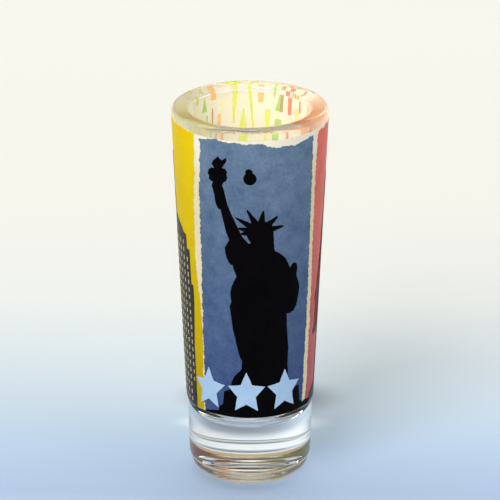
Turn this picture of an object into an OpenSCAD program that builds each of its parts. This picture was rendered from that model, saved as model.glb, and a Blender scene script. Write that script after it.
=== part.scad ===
// Souvenir shooter glass: a tall tapered glass tumbler with a thick clear base,
// wrapped in a fired print built up in four thin ink layers.
// Frame: +Z up, origin at the centre of the resting plane, the figure facing -Y.
// Millimetres throughout.

/* [Glass] */
// Overall height, resting ring to top of the lip
glass_h = 101.6; // [98:0.2:110]
// Outer radius where the tapered side would meet the table
base_r = 15.5; // [14.5:0.1:16.5]
// Outer radius where the tapered side would meet the rim plane
rim_r = 19.9; // [19:0.1:21]
// Radius of the lip's outer rounding
lip_out_r = 1.1; // [0.9:0.1:1.6]
// Radius of the lip's inner rounding
lip_in_r = 1; // [0.6:0.1:1.3]
// How far the lip reaches in from its crest
lip_in_w = 3.3; // [2.8:0.1:3.6]
// How steeply the lip's crown slopes where the inner rounding begins
crown_slope = 18; // [12:1:30]
// Depth of solid glass under the cavity
sham_h = 16.5; // [12:0.5:19]
// Cavity radius where its side would meet its floor
floor_r = 11.8; // [11:0.1:12.2]
// Fillet radius between the cavity's side and floor
floor_fillet = 5; // [3:0.5:7]
// How far the rounded heel reaches in under the base
heel_w = 7.4; // [6:0.1:8]
// Height of the rounded heel
heel_h = 4.4; // [3.5:0.1:4.6]
// How far the bead above the heel stands out
bead_out = 0.55; // [0.4:0.05:0.6]
// Outer radius of the hollow under the base
punt_r = 4.8; // [4:0.1:6]
// Depth of the hollow under the base
punt_depth = 0.6; // [0.3:0.1:0.8]

/* [Print] */
// Thickness of one ink layer
ink_t = 0.1; // [0.06:0.01:0.12]
// Lower edge of the print
print_low = 22; // [21.5:0.1:22]
// Upper edge of the red panel; the yellow panel runs up to the top of the base coat
red_panel_top = 98.2; // [97:0.1:98.7]
// Upper edge of the white base coat
coat_top = 99.1; // [98.8:0.1:99.8]
// Height of the three star motifs' centres
star_z = 29; // [28.8:0.1:30]
// Outer radius of a star motif, across the glass
star_r = 5.1; // [4.5:0.1:5.2]

/* [Colour panels] */
// Where the yellow panel ends on the left side, degrees from the front
yellow_end = -118; // [-125:1:-110]
// Where the red panel ends on the right side, degrees from the front
red_end = 120; // [112:1:125]

/* [Hidden] */
$fn = 96;

// The artwork is drawn for a glass this tall and grows with the real height
art_h = 101.6;
art_scale = glass_h / art_h;
arc_steps = 10;
cut_depth = rim_r + 5;

// Layer numbers, counted outwards from the glass
COAT = 0;
PANEL = 1;
BLACK = 2;
TOP = 3;

// Centre directions of the side and back artwork, degrees from the front
tower_turn = -86;
bridge_turn = 92;
back_turn = 181.3;

// ---- Geometry of the tapered side ----

function cone_r(z) = base_r + (rim_r - base_r) * z / glass_h;
taper = atan((rim_r - base_r) / glass_h);

// Points of an arc, from angle a0 to a1
function arc(centre, r, a0, a1) =
    [for (i = [0 : arc_steps])
        let (a = a0 + (a1 - a0) * i / arc_steps)
        [centre[0] + r * cos(a), centre[1] + r * sin(a)]];

// A flat artwork point [along the surface, height] seen square-on after wrapping
function wrap(p) =
    let (z = p[1] * art_scale, r = cone_r(z))
    [r * sin(p[0] * art_scale / r * 180 / PI), z];

// ---- Shared building blocks ----

// One complete layer of ink, face to face with the layer below it
module ink_layer(level, z0, z1) {
    r0 = cone_r(z0) + level * ink_t;
    r1 = cone_r(z1) + level * ink_t;
    rotate_extrude()
        polygon([[r0, z0], [r0 + ink_t, z0], [r1 + ink_t, z1], [r1, z1]]);
}

// Part of an ink layer between two directions, degrees from the front
module ink_sector(level, z0, z1, from, to) {
    r0 = cone_r(z0) + level * ink_t;
    r1 = cone_r(z1) + level * ink_t;
    rotate([0, 0, from - 90])
        rotate_extrude(angle = to - from)
            polygon([[r0, z0], [r0 + ink_t, z0], [r1 + ink_t, z1], [r1, z1]]);
}

// Cuts straight through the front half along -Y
module front_cut(outline) {
    rotate([90, 0, 0])
        linear_extrude(height = cut_depth)
            polygon([for (p = outline) wrap(p)]);
}

// Ink printed only where the child cutters stand, turned about the glass
module printed(level, turn = 0) {
    rotate([0, 0, turn])
        intersection() {
            ink_layer(level, print_low * art_scale, coat_top * art_scale);
            union() children();
        }
}

// An ellipse's arc, from angle a0 to a1
function ellipse_arc(centre, half_w, half_h, a0, a1) =
    [for (i = [0 : arc_steps])
        let (a = a0 + (a1 - a0) * i / arc_steps)
        [centre[0] + half_w * cos(a), centre[1] + half_h * sin(a)]];

// A list without its first entry, so that one outline can carry on from another
function tail(list) = [for (i = [1 : len(list) - 1]) list[i]];

function circle_points(u, z, r, count = 24) =
    [for (i = [0 : count - 1]) [u + r * cos(360 * i / count), z + r * sin(360 * i / count)]];

function box_points(u, z, w, h) =
    [[u - w / 2, z - h / 2], [u + w / 2, z - h / 2], [u + w / 2, z + h / 2], [u - w / 2, z + h / 2]];

// ---- Glass ----

crest = [cone_r(glass_h - lip_out_r) - lip_out_r / cos(taper), glass_h];
crown_r = (lip_in_w - lip_in_r * (1 - sin(crown_slope))) / sin(crown_slope);
crown_centre = crest - [0, crown_r];
lip_in_centre = crown_centre + (crown_r - lip_in_r) * [-sin(crown_slope), cos(crown_slope)];
lip_edge = lip_in_centre - [lip_in_r, 0];
cavity_taper = atan((lip_edge[0] - floor_r) / (lip_edge[1] - sham_h));
function cavity_r(z) = lip_edge[0] - (lip_edge[1] - z) * tan(cavity_taper);
fillet_z = sham_h + floor_fillet;
fillet_centre = [cavity_r(fillet_z) - floor_fillet / cos(cavity_taper), fillet_z];
bead_r = 0.8;
bead_z = 6;
// Below this height the side flares a little towards the bead
flare_z = 20.5;
punt_sphere_r = (punt_r * punt_r + punt_depth * punt_depth) / (2 * punt_depth);
punt_half_angle = asin(punt_r / punt_sphere_r);

module glass_body() {
    color([0.86, 0.9, 0.9, 0.4])
        rotate_extrude()
            polygon(concat(
                arc([0, punt_depth - punt_sphere_r], punt_sphere_r, 90, 90 - punt_half_angle),
                ellipse_arc([base_r - heel_w, heel_h], heel_w, heel_h, -90, 0),
                arc([base_r + bead_out - bead_r, bead_z], bead_r, -60, 0),
                [[cone_r(flare_z), flare_z]],
                arc(crest - [0, lip_out_r], lip_out_r, -taper, 90),
                tail(arc(crown_centre, crown_r, 90, 90 + crown_slope)),
                tail(arc(lip_in_centre, lip_in_r, 90 + crown_slope, 180)),
                arc(fillet_centre, floor_fillet, -cavity_taper, -90),
                [[0, sham_h]]));
}

// ---- White base coat ----

module white_base_coat() {
    color([0.93, 0.91, 0.85])
        ink_layer(COAT, print_low * art_scale, coat_top * art_scale);
}

// ---- Colour panels ----

// Uneven top edge of the blue panel, from left to right
blue_top = [[-13.1, 98.1], [-10.1, 98.7], [-8.6, 98.8], [-4.7, 98.2], [3.5, 98], [4.7, 97.3],
            [6.5, 96.9], [11.2, 96.6], [13.7, 96.9], [18.7, 97.8]];
// Edges of the blue panel and of the white borders beside it, from top to bottom
blue_left = [[-13.2, 94], [-13.5, 84], [-13.1, 64], [-12.9, 43], [-12.6, 34], [-12.6, 20]];
blue_right = [[18.5, 85], [18.1, 69], [17.4, 46], [16.4, 29], [15.9, 20]];
border_left = [[-15.3, 102], [-15.4, 88], [-15.75, 78], [-15.65, 65], [-14.4, 56],
               [-13.6, 50], [-13.1, 40], [-13, 20]];
border_right = [[21.4, 102], [20.6, 90], [20, 80], [19.8, 68], [19.2, 46], [18.6, 29],
                [17.6, 20]];
// The side panels are drawn from this direction on, under the front borders
side_start = 30;

function reversed(list) = [for (i = [len(list) - 1 : -1 : 0]) list[i]];

module blue_panel() {
    color([0.45, 0.53, 0.62])
        printed(PANEL)
            front_cut(concat(reversed(blue_left), blue_top, blue_right));
}

module side_panel(top, from, to) {
    difference() {
        ink_sector(PANEL, print_low * art_scale, top * art_scale, from, to);
        front_cut(concat(border_left, reversed(border_right)));
    }
}

module yellow_panel() {
    color([0.92, 0.8, 0.05]) side_panel(coat_top, yellow_end, -side_start);
}

module red_panel() {
    color([0.78, 0.2, 0.22]) side_panel(red_panel_top, side_start, red_end);
}

// ---- Torch-bearer statue on the blue panel ----

// Robed figure standing on dark ground, right arm raised, tablet held at the left side
ground_left = [[-12.4, 21], [-12.3, 22.4], [-8.1, 23.3], [-8, 24.6], [-6.9, 25.2],
               [-6.5, 29.1], [-4.7, 30], [-4.6, 31.6], [-3.7, 33.9], [-1.9, 35.9]];
robe_left = [[-1.7, 38.4], [-2.4, 39.9], [-3, 42.4], [-3.6, 45.3], [-4.1, 47.2], [-4.6, 51.5],
             [-4.9, 53.6], [-4.5, 55], [-4.7, 57.2], [-4.4, 59.2], [-3.1, 62.2]];
sleeve = [[-3.9, 64.4], [-4.1, 65.2], [-4.8, 65.4], [-5.8, 67.3], [-6.1, 69.8], [-5.4, 71.2],
          [-4.9, 72]];
arm_left = [[-5.8, 74.2], [-6.7, 78], [-7.2, 80.1], [-7.8, 80.3], [-8.6, 81.5], [-9, 84],
            [-9.6, 86.2]];
torch = [[-9.3, 87.4], [-9.9, 87.5], [-10.5, 88], [-10.3, 88.7], [-10.8, 89.3], [-10.6, 90.3],
         [-9.9, 91], [-8.9, 91.1], [-9.6, 92.2], [-9.1, 93.2], [-7.8, 94.4], [-7.4, 93.8],
         [-6.8, 93.4], [-5.6, 94.3], [-5.7, 93.2], [-6.8, 91.4], [-5.9, 91.2], [-5.4, 90.5],
         [-5.6, 89.7], [-5.4, 88.8], [-5.8, 87.9], [-6.4, 87.6]];
arm_right = [[-6.8, 86.5], [-6.4, 85.9], [-5.4, 81.6], [-4, 78.3], [-1.8, 73.5], [0, 71.2]];
hair = [[3, 73], [5.7, 76.5], [6.4, 75.4], [6.4, 72.9], [6.6, 69.6]];
shoulder = [[6.8, 68.9], [8.1, 68.1], [9.5, 66.8], [10.5, 64.9], [11.2, 63.4]];
tablet = [[11.7, 64.3], [12.4, 64.6], [13.1, 64.3], [13.5, 63.1], [13.2, 60.7]];
robe_right = [[14.1, 58.7], [14.3, 57], [13.9, 54.8], [13.3, 52.4], [12.3, 51.1], [11.1, 50.7],
              [10.2, 50.9], [10.3, 47], [10.8, 41.4], [10.6, 36.4], [10.9, 30.3]];
ground_right = [[12.3, 29.3], [14.6, 28.9], [14.9, 26.4], [15, 24.6], [16.2, 23.4],
                [17.8, 23.6], [20.2, 23.2], [20.2, 21]];

head_at = [2.9, 74.1];
head_r = 3.4;
crown_at = [2.9, 74.6];
// Each crown ray: [direction in degrees, reach from the crown's centre]
rays = [[8, 6.2], [39, 5.9], [81, 5.6], [119, 6.7], [149, 7.2], [172, 5.6], [188, 5]];
ray_root = 2.8;
ray_half_w = 0.85;
ray_tip_half_w = 0.17;

function ray_outline(direction, reach) =
    let (along = [cos(direction), sin(direction)], across = [-sin(direction), cos(direction)])
    [crown_at + ray_root * along + ray_half_w * across,
     crown_at + ray_root * along - ray_half_w * across,
     crown_at + reach * along - ray_tip_half_w * across,
     crown_at + reach * along + ray_tip_half_w * across];

module statue_silhouette() {
    color([0.09, 0.09, 0.1])
        printed(BLACK) {
            front_cut(concat(ground_left, robe_left, sleeve, arm_left, torch, arm_right,
                             hair, shoulder, tablet, robe_right, ground_right));
            front_cut(circle_points(head_at[0], head_at[1], head_r));
            for (ray = rays)
                front_cut(ray_outline(ray[0], ray[1]));
        }
}

// ---- Small drop-shaped ink spot beside the torch ----

drop_at = [0.35, 88.9];
drop_r = 1.65;
drop_cap_at = [0.1, 90.6];
drop_cap_r = 0.9;

module ink_drop() {
    color([0.1, 0.09, 0.09])
        printed(BLACK) {
            front_cut(circle_points(drop_at[0], drop_at[1], drop_r));
            front_cut(circle_points(drop_cap_at[0], drop_cap_at[1], drop_cap_r));
        }
}

// ---- Stepped tower on the yellow panel ----

// Right half of the tower, from its foot up: [half width, height] at each change
tower_steps = [[9.4, 21], [9.8, 38.5], [10.9, 52], [10.9, 56.7], [10.1, 56.8], [10.1, 66.2],
               [8.9, 66.3], [8.9, 70], [7.5, 70.3], [6.6, 71.4], [3, 73.4], [1.3, 73.6],
               [1.3, 79], [0.4, 79.6], [0.3, 90]];
window_columns = 5;
window_pitch_u = 1.8;
window_pitch_z = 2.1;
window_w = 0.42;
window_h = 1.1;
window_low_z = 23.4;
window_rows = 22;
window_margin = 0.4;

function tower_half_w(z) = lookup(z, [for (p = tower_steps) [p[1], p[0]]]);

module tower_silhouette() {
    color([0.2, 0.17, 0.15])
        printed(BLACK, tower_turn)
            front_cut(concat(tower_steps, [for (p = reversed(tower_steps)) [-p[0], p[1]]]));
}

module tower_windows() {
    color([0.8, 0.77, 0.5])
        printed(TOP, tower_turn)
            for (row = [0 : window_rows - 1])
                for (column = [-window_columns : window_columns]) {
                    z = window_low_z + row * window_pitch_z;
                    u = column * window_pitch_u;
                    if (abs(u) + window_w / 2 + window_margin < tower_half_w(z + window_h))
                        front_cut(box_points(u, z, window_w, window_h));
                }
}

// ---- Bridge tower on the red panel ----

bridge_deck_z = 42;
bridge_deck_h = 1.6;
bridge_half_span = 7.2;
bridge_top_z = 84;
bridge_leg_u = 2.6;
bridge_leg_w = 1.5;
bridge_beam_h = 2;
bridge_beams_z = [66, 83.2];
cable_low_z = 46;
cable_top_z = 82;
cable_w = 0.5;
cable_steps = 6;
hanger_w = 0.25;
hanger_count = 4;
hanger_pitch = 0.95;
bank = [[-7.2, 21], [7.2, 21], [7.2, 25], [4, 26.6], [0, 26.2], [-3, 27], [-7.2, 24.4]];
pier_z = 26;

// Height of the sagging cable, so far out from the bridge's leg
function cable_z(out) =
    cable_low_z + (cable_top_z - cable_low_z) * pow(1 - out / bridge_half_span, 2);

module bridge_cable(side) {
    reach = bridge_half_span - bridge_leg_u;
    low = [for (i = [0 : cable_steps])
        let (out = reach * i / cable_steps)
        [side * (bridge_leg_u + out), cable_z(out)]];
    front_cut(concat(low, [for (p = reversed(low)) [p[0], p[1] + cable_w]]));
}

module bridge_silhouette() {
    color([0.12, 0.09, 0.1])
        printed(BLACK, bridge_turn) {
            for (side = [-1, 1]) {
                front_cut(box_points(side * bridge_leg_u, (pier_z + bridge_top_z) / 2,
                                     bridge_leg_w, bridge_top_z - pier_z));
                bridge_cable(side);
                for (i = [1 : hanger_count]) {
                    out = i * hanger_pitch;
                    top_z = cable_z(out);
                    front_cut(box_points(side * (bridge_leg_u + out),
                                         (bridge_deck_z + top_z) / 2,
                                         hanger_w, top_z - bridge_deck_z + cable_w));
                }
            }
            for (beam_z = bridge_beams_z)
                front_cut(box_points(0, beam_z, 2 * bridge_leg_u, bridge_beam_h));
            front_cut(box_points(0, bridge_deck_z, 2 * bridge_half_span, bridge_deck_h));
            front_cut(bank);
        }
}

// ---- Five-pointed star motifs low on the front ----

star_centres = [-11.2, -0.6, 9.8];
star_tips = 5;
star_waist = 0.5;
star_stretch = 1.2;

function star_points(u, z, r) =
    [for (i = [0 : 2 * star_tips - 1])
        let (a = 90 + 180 / star_tips * i, reach = i % 2 == 0 ? r : r * star_waist)
        [u + reach * cos(a), z + star_stretch * reach * sin(a)]];

module star_motifs() {
    color([0.58, 0.71, 0.86])
        printed(TOP)
            for (u = star_centres)
                front_cut(star_points(u, star_z, star_r));
}

// ---- Abstract coloured marks on the back ----

// A tapered bar: [centre at top, top height, top width, centre at foot, foot height, foot width]
function bar_outline(bar) =
    [[bar[0] - bar[2] / 2, bar[1]], [bar[3] - bar[5] / 2, bar[4]],
     [bar[3] + bar[5] / 2, bar[4]], [bar[0] + bar[2] / 2, bar[1]]];

// Marks of the two top rows. Those that start at the lip run on above the print's own edge.
at_lip = 100.4;
lime_top = [[4.1, at_lip, 1.8, 4.8, 90.5, 0.5], [0.1, at_lip, 1, -1, 88.5, 0.6],
            [1.7, 94.4, 0.3, 2.2, 84, 3.6], [-5.2, 94, 1.6, -5, 84, 0.8],
            [18.1, at_lip, 1.6, 18.2, 97.5, 1.2]];
orange_top = [[-3.2, 98.5, 1.8, -3.2, 96.1, 1.5], [11.2, at_lip, 1.8, 11.2, 97.4, 1.8],
              [9.3, 93.4, 0.9, 9.4, 84, 1.2], [-15.9, at_lip, 1.4, -15.9, 98.5, 1.3]];
green_top = [[-7.5, at_lip, 1.2, -7.3, 97.2, 0.3], [-9.1, 98.6, 0.3, -8.3, 94.1, 1.4],
             [-8.6, 91.9, 2.2, -8.3, 84, 2.4], [14.6, 98.5, 0.3, 14.9, 94.8, 2.4],
             [13.8, 93.6, 0.7, 14, 88, 0.7]];
red_top = [[-11.8, at_lip, 1.5, -11.8, 98.5, 1.4], [-12.7, 98.3, 1.6, -12.5, 93.6, 1.3],
           [-17, 98.2, 0.8, -17, 95, 0.8], [-13.4, 91, 1, -13.2, 84, 1.4]];
brown_top = [[-9.9, 98.6, 1.1, -9.5, 93.9, 1.2], [11.6, 95.2, 0.5, 11.8, 87, 0.5],
             [-13.8, at_lip, 0.5, -13.8, 98.5, 0.5], [-14.7, at_lip, 0.5, -14.7, 98.5, 0.6]];
yellow_top = [[-15.6, 95.8, 1.6, -15.6, 92, 1.4], [8.6, 96.8, 1, 8.6, 95.3, 0.9],
              [16.6, 93, 1.4, 16.4, 86, 1]];

// The rows below repeat the same bars in rotating colours
row_tops = [81, 69, 57, 45, 33];
row_h = 9.5;
marks_per_row = 12;
mark_pitch = 2.75;
mark_lean = 0.3;
colour_count = 6;
// Steps through the colours from mark to mark and from row to row
mark_step = 5;
row_step = 2;
// Every third bar widens towards its foot: [width at top, width at foot]
flare_every = 3;
flared_bar = [0.5, 2.1];
plain_bar = [1.5, 1.1];

function row_bars(colour) =
    [for (row = [0 : len(row_tops) - 1], k = [0 : marks_per_row - 1])
        if ((k * mark_step + row * row_step) % colour_count == colour)
            let (u = (k - (marks_per_row - 1) / 2) * mark_pitch * cone_r(row_tops[row]) / rim_r,
                 w = (k + row) % flare_every == 0 ? flared_bar : plain_bar,
                 lean = k % 2 == 0 ? mark_lean : -mark_lean)
            [u, row_tops[row], w[0], u + lean, row_tops[row] - row_h, w[1]]];

module back_marks(top_bars, colour) {
    printed(PANEL, back_turn)
        for (bar = concat(top_bars, row_bars(colour)))
            front_cut(bar_outline(bar));
}

module lime_marks() {
    color([0.72, 0.78, 0.15]) back_marks(lime_top, 0);
}

module orange_marks() {
    color([0.9, 0.5, 0.2]) back_marks(orange_top, 1);
}

module green_marks() {
    color([0.45, 0.62, 0.25]) back_marks(green_top, 2);
}

module red_marks() {
    color([0.8, 0.25, 0.22]) back_marks(red_top, 3);
}

module brown_marks() {
    color([0.42, 0.35, 0.24]) back_marks(brown_top, 4);
}

module yellow_marks() {
    color([0.93, 0.78, 0.15]) back_marks(yellow_top, 5);
}

glass_body();
white_base_coat();
blue_panel();
yellow_panel();
red_panel();
statue_silhouette();
ink_drop();
tower_silhouette();
tower_windows();
bridge_silhouette();
star_motifs();
lime_marks();
orange_marks();
green_marks();
red_marks();
brown_marks();
yellow_marks();
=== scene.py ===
"""Visual model of the printed shooter glass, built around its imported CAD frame.

Every ink deposit is rebuilt from the outline of its own CAD node, so the artwork is drawn only once,
and the glass is turned from a fine profile. Metres, +Z up, the statue panel faces -Y.
"""
import math

import bmesh
import bpy
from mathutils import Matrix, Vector, noise


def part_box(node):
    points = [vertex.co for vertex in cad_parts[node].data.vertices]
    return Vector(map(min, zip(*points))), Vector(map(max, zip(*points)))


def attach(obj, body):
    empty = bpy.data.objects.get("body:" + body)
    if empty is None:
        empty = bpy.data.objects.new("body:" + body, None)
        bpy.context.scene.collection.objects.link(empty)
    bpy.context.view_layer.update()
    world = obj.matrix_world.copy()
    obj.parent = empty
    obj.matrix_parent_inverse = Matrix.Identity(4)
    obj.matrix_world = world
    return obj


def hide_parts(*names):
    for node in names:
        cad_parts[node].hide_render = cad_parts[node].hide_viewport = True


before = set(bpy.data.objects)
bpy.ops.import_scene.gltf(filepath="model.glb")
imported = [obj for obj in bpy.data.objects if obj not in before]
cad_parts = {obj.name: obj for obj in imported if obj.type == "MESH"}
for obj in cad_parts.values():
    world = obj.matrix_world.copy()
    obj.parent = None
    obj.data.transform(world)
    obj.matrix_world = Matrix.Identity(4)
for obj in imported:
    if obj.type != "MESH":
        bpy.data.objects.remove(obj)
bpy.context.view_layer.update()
MM = 0.001

# ---------------------------------------------------------------- sizes read from the frame

GLASS_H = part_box("glass_body")[1].z
COAT_LOW, COAT_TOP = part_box("white_base_coat")[0].z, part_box("white_base_coat")[1].z
INK_T = 0.1 * MM
LEVEL_SLACK = 0.01 * MM


def radius_at(node, z, pick):
    """Smallest or largest radius among a CAD node's vertices at height z."""
    return pick(math.hypot(v.co.x, v.co.y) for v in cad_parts[node].data.vertices
                if abs(v.co.z - z) < LEVEL_SLACK)


R_LOW = radius_at("white_base_coat", COAT_LOW, min)
R_TOP = radius_at("white_base_coat", COAT_TOP, min)
TAPER = (R_TOP - R_LOW) / (COAT_TOP - COAT_LOW)


def cone_r(z):
    """Radius of the glass's tapered side at height z."""
    return R_LOW + TAPER * (z - COAT_LOW)


# ---------------------------------------------------------------- the glass

LIP_OUT_R = 1.1 * MM
LIP_IN_R = 1.0 * MM
LIP_IN_W = 3.3 * MM
CROWN_SLOPE = math.radians(18)
SHAM_H = 16.5 * MM
FLOOR_R = 11.8 * MM
FLOOR_FILLET = 5.0 * MM
BASE_R = 15.5 * MM
HEEL_W = 7.4 * MM
HEEL_H = 4.4 * MM
BEAD_R = 0.8 * MM
BEAD_Z = 6.0 * MM
BEAD_OUT = 0.55 * MM
FLARE_Z = 20.5 * MM
PUNT_R = 4.8 * MM
PUNT_DEPTH = 0.6 * MM
FLOOR_RINGS = 10
AROUND = 288
ON_AXIS = 1e-7


def arc(centre, r, a0, a1, steps, r_up=None):
    """Points of an arc in the radius-height plane, angles in radians; r_up makes it elliptical."""
    up = r if r_up is None else r_up
    return [(centre[0] + r * math.cos(a0 + (a1 - a0) * i / steps),
             centre[1] + up * math.sin(a0 + (a1 - a0) * i / steps)) for i in range(steps + 1)]


def between(p, q, steps):
    """Points evenly between two points, both ends left out."""
    return [(p[0] + (q[0] - p[0]) * i / steps, p[1] + (q[1] - p[1]) * i / steps)
            for i in range(1, steps)]


def glass_profile():
    """Half section of the glass, from the middle of the underside out, up, over the lip and in."""
    side = math.atan(TAPER)
    crest_r = cone_r(GLASS_H - LIP_OUT_R) - LIP_OUT_R / math.cos(side)
    lean = math.sin(CROWN_SLOPE)
    crown_r = (LIP_IN_W - LIP_IN_R * (1 - lean)) / lean
    crown_end = math.pi / 2 + CROWN_SLOPE
    inner_c = (crest_r - (crown_r - LIP_IN_R) * lean,
               GLASS_H - crown_r + (crown_r - LIP_IN_R) * math.cos(CROWN_SLOPE))
    edge = (inner_c[0] - LIP_IN_R, inner_c[1])
    bore = math.atan((edge[0] - FLOOR_R) / (edge[1] - SHAM_H))
    fillet_z = SHAM_H + FLOOR_FILLET
    bore_r = edge[0] - (edge[1] - fillet_z) * math.tan(bore)
    fillet_c = (bore_r - FLOOR_FILLET / math.cos(bore), fillet_z)
    punt_r = (PUNT_R ** 2 + PUNT_DEPTH ** 2) / (2 * PUNT_DEPTH)
    punt = arc((0, PUNT_DEPTH - punt_r), punt_r, math.pi / 2,
               math.pi / 2 - math.asin(PUNT_R / punt_r), 14)
    heel = arc((BASE_R - HEEL_W, HEEL_H), HEEL_W, -math.pi / 2, 0, 24, HEEL_H)
    bead = arc((BASE_R + BEAD_OUT - BEAD_R, BEAD_Z), BEAD_R, -math.pi / 3, 0, 8)
    flare = (cone_r(FLARE_Z), FLARE_Z)
    lip = (arc((crest_r, GLASS_H - LIP_OUT_R), LIP_OUT_R, -side, math.pi / 2, 16)
           + arc((crest_r, GLASS_H - crown_r), crown_r, math.pi / 2, crown_end, 14)[1:]
           + arc(inner_c, LIP_IN_R, crown_end, math.pi, 12)[1:])
    fillet = arc(fillet_c, FLOOR_FILLET, -bore, -math.pi / 2, 20)
    floor = [(fillet[-1][0] * (1 - i / FLOOR_RINGS), SHAM_H) for i in range(1, FLOOR_RINGS + 1)]
    return (punt + between(punt[-1], heel[0], 4) + heel + bead
            + between(bead[-1], flare, 8) + [flare] + between(flare, lip[0], 40) + lip
            + between(lip[-1], fillet[0], 40) + fillet + floor)


def make_glass():
    """The pressed and fire-polished glass, turned from its half section."""
    bm = bmesh.new()
    rings = []
    for r, z in glass_profile():
        if r < ON_AXIS:
            rings.append([bm.verts.new((0, 0, z))])
            continue
        ring = []
        for k in range(AROUND):
            a = 2 * math.pi * k / AROUND
            ring.append(bm.verts.new((r * math.sin(a), -r * math.cos(a), z)))
        rings.append(ring)
    for low, high in zip(rings, rings[1:]):
        for k in range(AROUND):
            n = (k + 1) % AROUND
            quad = [low[k % len(low)], low[n % len(low)], high[n % len(high)], high[k % len(high)]]
            bm.faces.new(list(dict.fromkeys(quad)))
    bmesh.ops.recalc_face_normals(bm, faces=bm.faces)
    return mesh_object("glass_tumbler", bm)


def mesh_object(name, bm):
    """Finishes a bmesh as a smooth-shaded object in the scene."""
    mesh = bpy.data.meshes.new(name)
    bm.to_mesh(mesh)
    bm.free()
    mesh.polygons.foreach_set("use_smooth", [True] * len(mesh.polygons))
    obj = bpy.data.objects.new(name, mesh)
    bpy.context.scene.collection.objects.link(obj)
    return obj


# ---------------------------------------------------------------- ink deposits

# How far each layer's faces stand off the glass: [inner, outer]. The coat and the colours that
# strike through it are bedded in the glass, and the layers on top in the one below.
LAYER = {
    "coat": (-0.02 * MM, 0.06 * MM),
    "panel": (-0.03 * MM, 0.14 * MM),
    "black": (0.13 * MM, 0.22 * MM),
    "top": (0.21 * MM, 0.3 * MM),
}
CAD_LEVEL = {"coat": 0, "panel": 1, "black": 2, "top": 3}
STRIP = math.radians(1.5)
FLAT_R = 0.5 * (R_LOW + R_TOP)
WELD = 0.002 * MM
TINY = 1e-9
CUT_SLACK = 1e-8
# A printed edge wanders in steps of EDGE_STEP by two waves: [share, length, cut through the noise]
EDGE_STEP = 0.3 * MM
EDGE_WAVES = [(0.6, 1.9 * MM, 0.3), (0.9, 0.55 * MM, 0.7)]
CALM_FOOT = 0.3 * MM


def unrolled_outlines(node, level):
    """Outlines of a CAD ink node's outside face, as loops of flat points [angle * FLAT_R, height]."""
    bm = bmesh.new()
    bm.from_mesh(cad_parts[node].data)
    bmesh.ops.remove_doubles(bm, verts=bm.verts, dist=WELD)
    middle = (CAD_LEVEL[level] + 0.5) * INK_T
    inside = [v for v in bm.verts if math.hypot(v.co.x, v.co.y) < cone_r(v.co.z) + middle]
    bmesh.ops.delete(bm, geom=inside, context="VERTS")
    facing = sum((v.co.xy.normalized() for v in bm.verts), Vector((0, 0)))
    turn = math.atan2(facing.x, -facing.y)
    following = {}
    for face in bm.faces:
        for loop in face.loops:
            if loop.edge.is_boundary:
                following[loop.vert] = loop.link_loop_next.vert
    loops = []
    while following:
        vert = next(iter(following))
        outline = []
        while vert in following:
            x, y, z = vert.co
            angle = math.atan2(x, -y) - turn
            angle = (angle + math.pi) % (2 * math.pi) - math.pi + turn
            outline.append(Vector((angle * FLAT_R, z)))
            vert = following.pop(vert)
        loops.append(outline)
    bm.free()
    return loops


def simplified(outline, slack=0.01 * MM):
    """The outline without points that lie on a straight run."""
    kept = []
    count = len(outline)
    for i, p in enumerate(outline):
        before = kept[-1] if kept else outline[i - 1]
        after = outline[(i + 1) % count]
        run = after - before
        if run.length < TINY:
            continue
        if abs(run.cross(p - before)) / run.length > slack:
            kept.append(p)
    return kept


def ragged(outline, amount, calm_below):
    """Short steps along the outline, pushed in and out like the edge of a screen print.

    Below the height calm_below, where the print is cut off level, nothing is pushed.
    """
    points = []
    for i, p in enumerate(outline):
        q = outline[(i + 1) % len(outline)]
        steps = max(1, round((q - p).length / EDGE_STEP))
        points += [p + (q - p) * k / steps for k in range(steps)]
    pushed = []
    for i, p in enumerate(points):
        run = points[(i + 1) % len(points)] - points[i - 1]
        if run.length < TINY:
            pushed.append(p)
            continue
        out = Vector((run.y, -run.x)).normalized()
        wave = sum(share * noise.noise(Vector((p.x, p.y, cut)) / length)
                   for share, length, cut in EDGE_WAVES)
        push = 0 if p.y < calm_below else amount * wave
        pushed.append(p + out * push)
    return pushed


def cone_point(u, z, height):
    """A flat point laid on the tapered side, height above the glass."""
    angle = u / FLAT_R
    r = cone_r(z) + height
    return (r * math.sin(angle), -r * math.cos(angle), z)


def solid_from_flat(flat, layer, name):
    """Gives a flat filled mesh the cone's curve and a layer's thickness, and closes its sides."""
    low, high = LAYER[layer]
    bm = bmesh.new()
    outer, inner = {}, {}
    for v in flat.verts:
        outer[v] = bm.verts.new(cone_point(v.co.x, v.co.y, high))
        inner[v] = bm.verts.new(cone_point(v.co.x, v.co.y, low))
    for face in flat.faces:
        bm.faces.new([outer[v] for v in face.verts])
        back = bm.faces.new([inner[v] for v in reversed(face.verts)])
        back.material_index = 1 if layer == "panel" else 0
    for edge in flat.edges:
        if edge.is_boundary:
            loop = edge.link_loops[0]
            a, b = loop.vert, loop.link_loop_next.vert
            bm.faces.new([outer[b], outer[a], inner[a], inner[b]])
            for ring in (outer, inner):
                bm.edges.get((ring[a], ring[b])).smooth = False
    bmesh.ops.recalc_face_normals(bm, faces=bm.faces)
    return mesh_object(name, bm)


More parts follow.
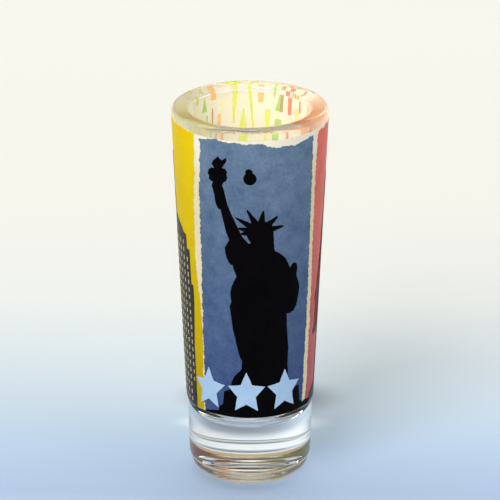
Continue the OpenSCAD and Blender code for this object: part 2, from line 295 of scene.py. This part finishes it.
def filled(outlines):
    """A flat mesh filling the outlines, cut into narrow upright strips."""
    flat = bmesh.new()
    for outline in outlines:
        verts = [flat.verts.new((p.x, p.y, 0)) for p in outline]
        for i, v in enumerate(verts):
            flat.edges.new((verts[i - 1], v))
    bmesh.ops.triangle_fill(flat, use_beauty=True, use_dissolve=False, edges=flat.edges)
    for face in flat.faces:
        face.normal_update()
        if face.normal.z < 0:
            face.normal_flip()
    reach = [v.co.x for v in flat.verts]
    first, last = math.floor(min(reach) / FLAT_R / STRIP), math.ceil(max(reach) / FLAT_R / STRIP)
    for k in range(first, last + 1):
        bmesh.ops.bisect_plane(flat, geom=flat.verts[:] + flat.edges[:] + flat.faces[:],
                               dist=CUT_SLACK, plane_co=(k * STRIP * FLAT_R, 0, 0), plane_no=(1, 0, 0))
    return flat


def make_ink(node, layer, amount):
    """One ink deposit, rebuilt from its CAD node's outline with a printed edge."""
    outlines = [ragged(simplified(o), amount, COAT_LOW + CALM_FOOT)
                for o in unrolled_outlines(node, layer)]
    flat = filled(outlines)
    obj = solid_from_flat(flat, layer, node + "_print")
    flat.free()
    return obj


COAT_ROWS = 16
COAT_SINK = 0.1 * MM
COAT_FOOT = COAT_LOW - 0.12 * MM
# The coat's upper edge is torn twice over: [depth in mm, radius of the loop through the noise]
COAT_TEARS = [(0.14, 4.0), (0.1, 19.0)]
HARD_EDGE = math.radians(40)


def make_coat():
    """The white base coat, all the way round, with a torn upper edge that sinks at the front."""
    low, high = LAYER["coat"]
    bm = bmesh.new()
    rings = []
    for k in range(AROUND):
        angle = 2 * math.pi * k / AROUND
        here = Vector((math.cos(angle), math.sin(angle), 0))
        torn = sum(depth * noise.noise(here * loop_r) for depth, loop_r in COAT_TEARS)
        top = COAT_TOP + torn * MM - COAT_SINK * (1 + math.cos(angle))
        heights = [COAT_FOOT + (top - COAT_LOW) * i / COAT_ROWS for i in range(COAT_ROWS + 1)]
        u = angle * FLAT_R
        ring = [bm.verts.new(cone_point(u, z, high)) for z in heights]
        ring += [bm.verts.new(cone_point(u, z, low)) for z in reversed(heights)]
        rings.append(ring)
    size = len(rings[0])
    for k, ring in enumerate(rings):
        other = rings[(k + 1) % AROUND]
        for i in range(size):
            j = (i + 1) % size
            face = bm.faces.new([ring[i], other[i], other[j], ring[j]])
            face.material_index = 0 if i < COAT_ROWS else 1
    bmesh.ops.recalc_face_normals(bm, faces=bm.faces)
    for edge in bm.edges:
        if len(edge.link_faces) == 2 and edge.calc_face_angle(0) > HARD_EDGE:
            edge.smooth = False
    return mesh_object("white_base_coat_print", bm)


# ---------------------------------------------------------------- materials

BLOTCH_SHARE = 0.62
GRAIN_SHARE = 0.38
BLOTCH_TO_GRAIN = 6
INK_ROUGHNESS = 0.45
INK_RELIEF_MM = 0.02
INK_RELIEF_STRENGTH = 0.5
GLOW_DEPTH = 0.1 * MM
SMEAR_MM = 9.0
WAVINESS_MM = 14.0
WAVINESS_RELIEF_MM = 0.012
WAVINESS_STRENGTH = 0.6


def srgb(r, g, b):
    """Linear colour from 0-255 display values."""
    def linear(c):
        c /= 255
        return c / 12.92 if c <= 0.04045 else ((c + 0.055) / 1.055) ** 2.4
    return (linear(r), linear(g), linear(b), 1)


def new_material(name):
    """A material with its node tree, its shader and a coordinate in millimetres."""
    mat = bpy.data.materials.new(name)
    mat.use_nodes = True
    tree = mat.node_tree
    shader = tree.nodes["Principled BSDF"]
    coords = tree.nodes.new("ShaderNodeTexCoord")
    scale = tree.nodes.new("ShaderNodeMapping")
    scale.inputs["Scale"].default_value = (1 / MM, 1 / MM, 1 / MM)
    tree.links.new(coords.outputs["Object"], scale.inputs["Vector"])
    return mat, tree, shader, scale.outputs["Vector"]


def noise_node(tree, where, size_mm, detail, roughness=0.55):
    """Noise with features about size_mm across."""
    node = tree.nodes.new("ShaderNodeTexNoise")
    node.inputs["Scale"].default_value = 1 / size_mm
    node.inputs["Detail"].default_value = detail
    node.inputs["Roughness"].default_value = roughness
    tree.links.new(where, node.inputs["Vector"])
    return node.outputs["Fac"]


def ramp_node(tree, value, stops):
    """Colour ramp through [position, colour] stops."""
    node = tree.nodes.new("ShaderNodeValToRGB")
    elements = node.color_ramp.elements
    elements[0].position, elements[0].color = stops[0]
    elements[1].position, elements[1].color = stops[-1]
    for position, colour in stops[1:-1]:
        elements.new(position).color = colour
    tree.links.new(value, node.inputs["Fac"])
    return node.outputs["Color"]


def mix_node(tree, factor, a, b, mode="MIX"):
    """Mixes two colours; factor, a and b are sockets or plain values."""
    node = tree.nodes.new("ShaderNodeMix")
    node.data_type = "RGBA"
    node.blend_type = mode
    for socket, value in ((node.inputs[0], factor), (node.inputs[6], a), (node.inputs[7], b)):
        if isinstance(value, bpy.types.NodeSocket):
            tree.links.new(value, socket)
        else:
            socket.default_value = value
    return node.outputs[2]


def bump(tree, shader, height, distance_mm, strength):
    """Raises the surface by a value, at most distance_mm."""
    node = tree.nodes.new("ShaderNodeBump")
    node.inputs["Strength"].default_value = strength
    node.inputs["Distance"].default_value = distance_mm * MM
    tree.links.new(height, node.inputs["Height"])
    tree.links.new(node.outputs["Normal"], shader.inputs["Normal"])


def ink_material(name, dark, light, grain_mm, low=None, fade=(COAT_LOW, COAT_TOP),
                 gloss=1.17, glow=0.0):
    """Screen-printed ink: blotches between two shades, fine grain, and optionally a lower tone.

    low is the tone it is multiplied by at its foot, which fades out between the two heights;
    gloss is a low index of refraction, so that only the sides turned away shine, and glow the
    share of the light that strikes through the thin ink from behind.
    """
    mat, tree, shader, where = new_material(name)
    blotch = noise_node(tree, where, grain_mm * BLOTCH_TO_GRAIN, 4.0)
    grain = noise_node(tree, where, grain_mm, 2.0)
    both = tree.nodes.new("ShaderNodeMath")
    both.operation = "ADD"
    for i, (source, share) in enumerate(((blotch, BLOTCH_SHARE), (grain, GRAIN_SHARE))):
        part = tree.nodes.new("ShaderNodeMath")
        part.operation = "MULTIPLY"
        part.inputs[1].default_value = share
        tree.links.new(source, part.inputs[0])
        tree.links.new(part.outputs[0], both.inputs[i])
    colour = ramp_node(tree, both.outputs[0], [(0.3, dark), (0.7, light)])
    if low is not None:
        height = tree.nodes.new("ShaderNodeSeparateXYZ")
        tree.links.new(where, height.inputs[0])
        fall = tree.nodes.new("ShaderNodeMapRange")
        fall.inputs["From Min"].default_value = fade[0] / MM
        fall.inputs["From Max"].default_value = fade[1] / MM
        tree.links.new(height.outputs["Z"], fall.inputs["Value"])
        toned = mix_node(tree, 1.0, colour, low, "MULTIPLY")
        colour = mix_node(tree, fall.outputs[0], toned, colour)
    tree.links.new(colour, shader.inputs["Base Color"])
    shader.inputs["Roughness"].default_value = INK_ROUGHNESS
    shader.inputs["IOR"].default_value = gloss
    shader.inputs["Subsurface Weight"].default_value = glow
    shader.inputs["Subsurface Radius"].default_value = (1, 1, 1)
    shader.inputs["Subsurface Scale"].default_value = GLOW_DEPTH
    bump(tree, shader, grain, INK_RELIEF_MM, INK_RELIEF_STRENGTH)
    return mat


def glass_material():
    """Clear soda-lime glass with faint handling marks and a slightly wavy surface."""
    mat, tree, shader, where = new_material("clear_soda_lime_glass")
    smear = noise_node(tree, where, SMEAR_MM, 5.0, 0.6)
    haze = tree.nodes.new("ShaderNodeMapRange")
    haze.inputs["From Min"].default_value = 0.5
    haze.inputs["From Max"].default_value = 0.75
    haze.inputs["To Min"].default_value = 0.0
    haze.inputs["To Max"].default_value = 0.03
    tree.links.new(smear, haze.inputs["Value"])
    tree.links.new(haze.outputs[0], shader.inputs["Roughness"])
    shader.inputs["Base Color"].default_value = (0.985, 0.992, 0.99, 1)
    shader.inputs["IOR"].default_value = 1.51
    shader.inputs["Transmission Weight"].default_value = 1.0
    waviness = noise_node(tree, where, WAVINESS_MM, 2.0)
    bump(tree, shader, waviness, WAVINESS_RELIEF_MM, WAVINESS_STRENGTH)
    return mat


# The inks as they look from outside: the dull blacks shine more on the glass's sides, and the
# inks of the small marks on the back are the panels' colours without their change of tone
INKS = {
    "white": ink_material("white_ink", srgb(240, 232, 210), srgb(248, 243, 226), 0.8,
                          low=srgb(238, 232, 206), fade=(86 * MM, 97 * MM)),
    # The blue darkens and deepens towards its foot: partly the print's own tone, partly painted shade
    # of the light from above
    "blue": ink_material("blue_ink", srgb(80, 106, 133), srgb(120, 140, 163), 0.7,
                         low=srgb(156, 172, 218), fade=(30 * MM, COAT_TOP)),
    "yellow": ink_material("yellow_ink", srgb(228, 192, 0), srgb(240, 208, 0), 0.9,
                           low=srgb(200, 204, 210), gloss=1.12),
    "red": ink_material("red_ink", srgb(222, 90, 78), srgb(236, 116, 100), 0.9,
                        low=srgb(200, 200, 255), gloss=1.3),
    "black": ink_material("black_ink", srgb(2, 1, 2), srgb(8, 5, 7), 0.9, gloss=1.1),
    "dull_black": ink_material("black_ink_on_the_sides", srgb(20, 14, 10), srgb(44, 34, 24), 0.9,
                               gloss=1.35),
    "red_marks": ink_material("red_marks_ink", srgb(204, 84, 74), srgb(222, 108, 92), 0.7),
    "yellow_marks": ink_material("yellow_marks_ink", srgb(222, 190, 0), srgb(238, 208, 10), 0.7),
    "cream": ink_material("cream_ink", srgb(166, 158, 112), srgb(200, 190, 140), 0.5, gloss=1.3),
    "pale_blue": ink_material("pale_blue_ink", srgb(158, 190, 224), srgb(176, 204, 234), 0.7),
    "lime": ink_material("lime_ink", srgb(196, 206, 40), srgb(216, 224, 70), 0.7),
    "orange": ink_material("orange_ink", srgb(240, 150, 60), srgb(250, 172, 90), 0.7),
    "green": ink_material("green_ink", srgb(140, 180, 70), srgb(166, 198, 100), 0.7),
    "brown": ink_material("brown_ink", srgb(140, 120, 80), srgb(170, 150, 106), 0.7),
}

# The same inks as they look from inside, through the glass, where they are thin and glow
STRUCK_THROUGH = {
    ink: ink_material(ink + "_ink_through_glass", dark, light, 0.8, glow=1.0)
    for ink, dark, light in (
        ("white", srgb(230, 225, 207), srgb(241, 237, 221)),
        ("blue", srgb(214, 216, 206), srgb(230, 230, 216)),
        ("lime", srgb(222, 230, 110), srgb(238, 242, 140)),
        ("orange", srgb(252, 200, 130), srgb(255, 218, 158)),
        ("green", srgb(180, 216, 120), srgb(204, 230, 150)),
        ("brown", srgb(186, 168, 126), srgb(208, 190, 150)),
        ("red_marks", srgb(226, 146, 122), srgb(238, 164, 138)),
        ("yellow_marks", srgb(250, 234, 146), srgb(255, 244, 168)),
    )
}
# Seen from inside, yellow and red take a deeper, darker tone below their top band: painted shade for
# the dimmer light deep inside the glass
for ink, dark, light, low in (
        ("yellow", srgb(246, 241, 220), srgb(255, 251, 232), srgb(255, 248, 180)),
        ("red", srgb(246, 204, 176), srgb(255, 220, 192), srgb(250, 206, 180))):
    STRUCK_THROUGH[ink] = ink_material(ink + "_ink_through_glass", dark, light, 0.8, low=low,
                                       fade=(88 * MM, 97 * MM), glow=1.0)

# ---------------------------------------------------------------- the pieces

# Each deposit: CAD node, layer, ink, raggedness of its edge in mm, none where its lines are fine
DEPOSITS = [
    ("blue_panel", "panel", "blue", 0.45),
    ("yellow_panel", "panel", "yellow", 0.4),
    ("red_panel", "panel", "red", 0.5),
    ("statue_silhouette", "black", "black", 0.08),
    ("ink_drop", "black", "black", 0.05),
    ("tower_silhouette", "black", "dull_black", 0.08),
    ("tower_windows", "top", "cream", 0.1),
    ("bridge_silhouette", "black", "dull_black", 0.0),
    ("star_motifs", "top", "pale_blue", 0.06),
    ("lime_marks", "panel", "lime", 0.1),
    ("orange_marks", "panel", "orange", 0.1),
    ("green_marks", "panel", "green", 0.1),
    ("red_marks", "panel", "red_marks", 0.1),
    ("brown_marks", "panel", "brown", 0.1),
    ("yellow_marks", "panel", "yellow_marks", 0.1),
]


def place(piece, node, slot, *materials):
    """A finished piece takes its materials, stands for its CAD node and moves with the glass."""
    for material in materials:
        piece.data.materials.append(material)
    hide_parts(node)
    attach(piece, "root")


# Clear glass lets the light through, and no caustics are traced, so it casts no shadow
tumbler = make_glass()
tumbler.visible_shadow = False
place(tumbler, "glass_body", "clear_glass", glass_material())
place(make_coat(), "white_base_coat", "white_ink", INKS["white"], STRUCK_THROUGH["white"])
for node, layer, ink, edge in DEPOSITS:
    faces = [INKS[ink]] + ([STRUCK_THROUGH[ink]] if layer == "panel" else [])
    slot = ink.removeprefix("dull_").removesuffix("_marks") + "_ink"
    place(make_ink(node, layer, edge * MM), node, slot, *faces)

# ---------------------------------------------------------------- stage, light and camera

FLOOR_HALF = 4.0
FLOOR_DROP = 0.03 * MM
FLOOR_ALBEDO = 0.72
# Floor colours from near to far: [distance behind the middle of the glass, colour]
FLOOR_TONES = [(-0.030, srgb(198, 217, 242)), (-0.016, srgb(180, 203, 236)),
               (0.009, srgb(190, 217, 246)), (0.040, srgb(208, 228, 245)),
               (0.111, srgb(238, 244, 246)), (0.195, srgb(247, 249, 246)),
               (0.380, srgb(252, 255, 251))]
# Painted light on the floor behind the glass: [middle, reach across and back, tone]; the first is a
# painted shadow of the print and the second a painted pool of the light that the clear base gathers
PAINTED_SHADE_AND_LIGHT = [((0.002, 0.0425, 0), (0.027, 0.0150, 1), srgb(124, 132, 148)),
           ((0.0, 0.0262, 0), (0.024, 0.0075, 1), srgb(236, 245, 255))]
# Share of its reach within which a patch has its full tone
PATCH_CORE = 0.3


def between_values(tree, value, low, high, out_low=0.0, out_high=1.0):
    """Smooth step of a value from out_low at low to out_high at high."""
    node = tree.nodes.new("ShaderNodeMapRange")
    node.interpolation_type = "SMOOTHSTEP"
    node.inputs["From Min"].default_value = low
    node.inputs["From Max"].default_value = high
    node.inputs["To Min"].default_value = out_low
    node.inputs["To Max"].default_value = out_high
    tree.links.new(value, node.inputs["Value"])
    return node.outputs[0]


def floor_material():
    """Pale floor, blue close to the glass and warm white further back, with a painted shadow and a
    painted pool of light behind the glass.
    """
    mat = bpy.data.materials.new("studio_floor")
    mat.use_nodes = True
    tree = mat.node_tree
    shader = tree.nodes["Principled BSDF"]
    coords = tree.nodes.new("ShaderNodeTexCoord")
    parts = tree.nodes.new("ShaderNodeSeparateXYZ")
    tree.links.new(coords.outputs["Object"], parts.inputs[0])
    near, far = FLOOR_TONES[0][0], FLOOR_TONES[-1][0]
    back = tree.nodes.new("ShaderNodeMapRange")
    back.inputs["From Min"].default_value = near
    back.inputs["From Max"].default_value = far
    tree.links.new(parts.outputs["Y"], back.inputs["Value"])
    stops = [((y - near) / (far - near), [c * FLOOR_ALBEDO for c in tone[:3]] + [1])
             for y, tone in FLOOR_TONES]
    tone = ramp_node(tree, back.outputs[0], stops)
    # Each entry paints a soft shadow or a soft pool of light into the floor's colour
    for middle, reach, painted_tone in PAINTED_SHADE_AND_LIGHT:
        where = tree.nodes.new("ShaderNodeMapping")
        where.vector_type = "TEXTURE"
        where.inputs["Location"].default_value = middle
        where.inputs["Scale"].default_value = reach
        tree.links.new(coords.outputs["Object"], where.inputs["Vector"])
        out = tree.nodes.new("ShaderNodeVectorMath")
        out.operation = "LENGTH"
        tree.links.new(where.outputs["Vector"], out.inputs[0])
        inside = between_values(tree, out.outputs["Value"], PATCH_CORE, 1.0, 1.0, 0.0)
        tone = mix_node(tree, inside, tone, painted_tone)
    tree.links.new(tone, shader.inputs["Base Color"])
    shader.inputs["Roughness"].default_value = 0.9
    shader.inputs["Specular IOR Level"].default_value = 0.1
    return mat


bpy.ops.mesh.primitive_plane_add(size=2 * FLOOR_HALF, location=(0, 0, -FLOOR_DROP))
floor = bpy.context.object
floor.name = "floor"
floor.data.materials.append(floor_material())


# The room by the height of the direction looked in, from 0 at the horizon to 1 straight up
ROOM_TONES = [(0.0, srgb(236, 226, 206)), (0.03, srgb(218, 194, 156)), (0.25, srgb(212, 192, 156)),
              (0.62, srgb(206, 190, 160)), (0.8, srgb(253, 254, 255))]
CEILING_FROM = 0.7
CEILING_FULL = 0.88
WALL_STRENGTH = 0.75
CEILING_STRENGTH = 1.4


def make_studio():
    """A plain room: warm and dimmer at mid height, pale at the horizon, a broad bright ceiling."""
    world = bpy.data.worlds.new("studio")
    bpy.context.scene.world = world
    world.use_nodes = True
    tree = world.node_tree
    background = tree.nodes["Background"]
    coords = tree.nodes.new("ShaderNodeTexCoord")
    parts = tree.nodes.new("ShaderNodeSeparateXYZ")
    tree.links.new(coords.outputs["Generated"], parts.inputs[0])
    height = parts.outputs["Z"]
    tree.links.new(ramp_node(tree, height, ROOM_TONES), background.inputs["Color"])
    strength = between_values(tree, height, CEILING_FROM, CEILING_FULL,
                              WALL_STRENGTH, CEILING_STRENGTH)
    tree.links.new(strength, background.inputs["Strength"])


def area_light(name, place_at, size, power, colour, shines=True):
    """A square soft light aimed at the middle of the glass.

    shines says whether it shows in the gloss and through the glass.
    """
    data = bpy.data.lights.new(name, "AREA")
    data.size = size
    data.energy = power
    data.color = colour
    lamp = bpy.data.objects.new(name, data)
    lamp.location = place_at
    aim = Vector((0, 0, GLASS_H / 2)) - lamp.location
    lamp.rotation_euler = aim.to_track_quat("-Z", "Y").to_euler()
    lamp.visible_glossy = shines
    lamp.visible_transmission = shines
    bpy.context.scene.collection.objects.link(lamp)


make_studio()
area_light("key", (-0.55, -0.95, 1.1), 0.7, 15, (1, 0.98, 0.95))
area_light("side_fill", (1.0, -0.5, 0.8), 0.8, 2.8, (0.9, 0.96, 1.0))
area_light("back_light", (0.1, 1.1, 1.0), 1.0, 4.6, (1, 0.99, 0.97), shines=False)

CAMERA_BACK = 0.650
CAMERA_UP = 0.328
CAMERA_DOWN = math.radians(22.26)
CAMERA_TURN = math.radians(1.1)
LENS = 196.2
SENSOR = 36
NEAREST = 0.01

camera_data = bpy.data.cameras.new("camera")
camera_data.lens = LENS
camera_data.sensor_width = SENSOR
camera_data.clip_start = NEAREST
camera = bpy.data.objects.new("camera", camera_data)
camera.location = (CAMERA_BACK * math.sin(CAMERA_TURN), -CAMERA_BACK * math.cos(CAMERA_TURN),
                   CAMERA_UP)
camera.rotation_euler = (math.pi / 2 - CAMERA_DOWN, 0, CAMERA_TURN)
bpy.context.scene.collection.objects.link(camera)
bpy.context.scene.camera = camera
bpy.context.scene.view_settings.view_transform = "Standard"

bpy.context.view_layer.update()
